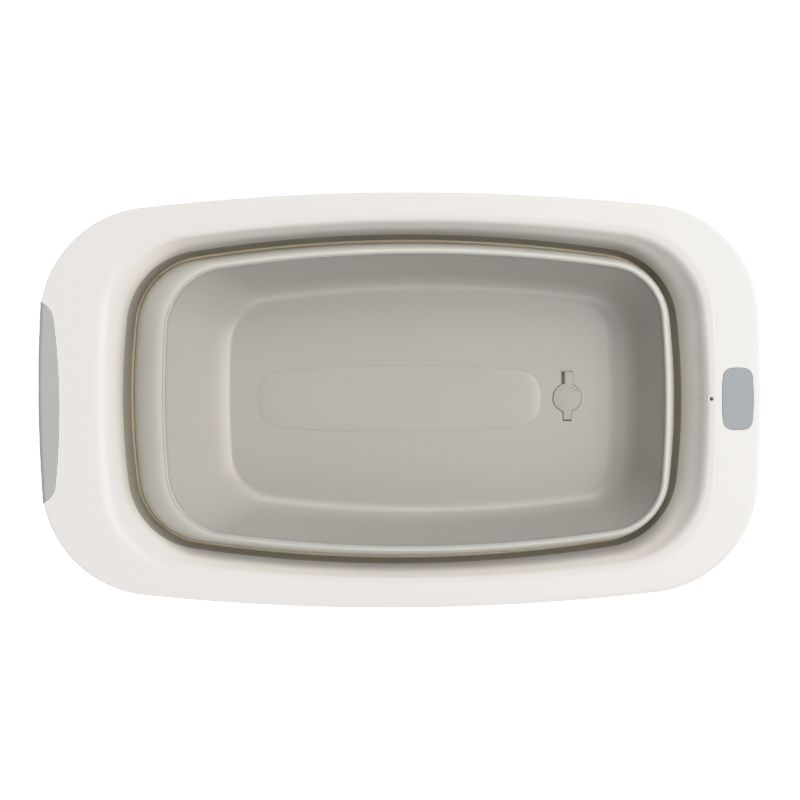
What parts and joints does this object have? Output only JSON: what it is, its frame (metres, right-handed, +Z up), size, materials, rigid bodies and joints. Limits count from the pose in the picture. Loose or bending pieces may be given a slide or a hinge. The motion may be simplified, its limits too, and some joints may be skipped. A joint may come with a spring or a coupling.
{
  "type": "foldable baby bathtub",
  "caption": "Foldable baby bathtub, shown folded: a rim on swing-out legs, a soft folding band and a tray with a strapped drain plug.",
  "frame": {"origin": "under the middle of the rim, on the surface that the tray's feet stand on", "axes": "+X along the tub to the foot end with the drain, +Y to the tub's left side, +Z up"},
  "size_m": [0.82, 0.472, 0.108],
  "materials": {
    "rim_plastic": "white polypropylene, fine satin",
    "tray_plastic": "warm grey polypropylene, smooth satin",
    "soft_band": "warm grey thermoplastic elastomer, matt",
    "grip_rubber": "cool grey thermoplastic elastomer, matt",
    "leg_plastic": "white polypropylene, matt"
  },
  "bodies": {
    "tray": {"tray_shell": "tray_plastic", "floor_grip_pad": "tray_plastic", "plug_anchor": "soft_band", "lip_bead": "soft_band", "folding_band": "soft_band", "base_pad_head_left": "grip_rubber", "base_pad_head_right": "grip_rubber", "base_pad_foot_left": "grip_rubber", "base_pad_foot_right": "grip_rubber"},
    "rim": {"rim_shell": "rim_plastic", "head_grip_pad": "grip_rubber", "foot_label_pad": "grip_rubber", "band_cuff": "soft_band", "leg_pin_head_left": "leg_plastic", "leg_pin_head_right": "leg_plastic", "leg_pin_foot_left": "leg_plastic", "leg_pin_foot_right": "leg_plastic"},
    "leg_head_left": {"leg_head_left": "leg_plastic", "leg_shoe_head_left": "grip_rubber"},
    "leg_head_right": {"leg_head_right": "leg_plastic", "leg_shoe_head_right": "grip_rubber"},
    "leg_foot_left": {"leg_foot_left": "leg_plastic", "leg_shoe_foot_left": "grip_rubber"},
    "leg_foot_right": {"leg_foot_right": "leg_plastic", "leg_shoe_foot_right": "grip_rubber"},
    "plug": {"drain_plug": "soft_band"}
  },
  "joints": [
    {"name": "rim_lift", "type": "slide", "parent": "tray", "child": "rim", "axis": [0, 0, 1], "range_m": [0, 0.1148], "deforming": ["folding_band"]},
    {"name": "leg_swing_head_left", "type": "hinge", "parent": "rim", "child": "leg_head_left", "pos_m": [-0.29, 0.20412, 0.085], "axis": [-0.0766, 0.9971, 0], "range_deg": [0, 90]},
    {"name": "leg_swing_head_right", "type": "hinge", "parent": "rim", "child": "leg_head_right", "pos_m": [-0.29, -0.20412, 0.085], "axis": [0.0766, 0.9971, 0], "range_deg": [0, 90]},
    {"name": "leg_swing_foot_left", "type": "hinge", "parent": "rim", "child": "leg_foot_left", "pos_m": [0.29, 0.20412, 0.085], "axis": [-0.0766, -0.9971, 0], "range_deg": [0, 90]},
    {"name": "leg_swing_foot_right", "type": "hinge", "parent": "rim", "child": "leg_foot_right", "pos_m": [0.29, -0.20412, 0.085], "axis": [0.0766, -0.9971, 0], "range_deg": [0, 90]},
    {"name": "plug_hinge", "type": "hinge", "parent": "tray", "child": "plug", "pos_m": [0.2039, 0.031, 0.0096], "axis": [-1, 0, 0], "range_deg": [0, 100]}
  ]
}
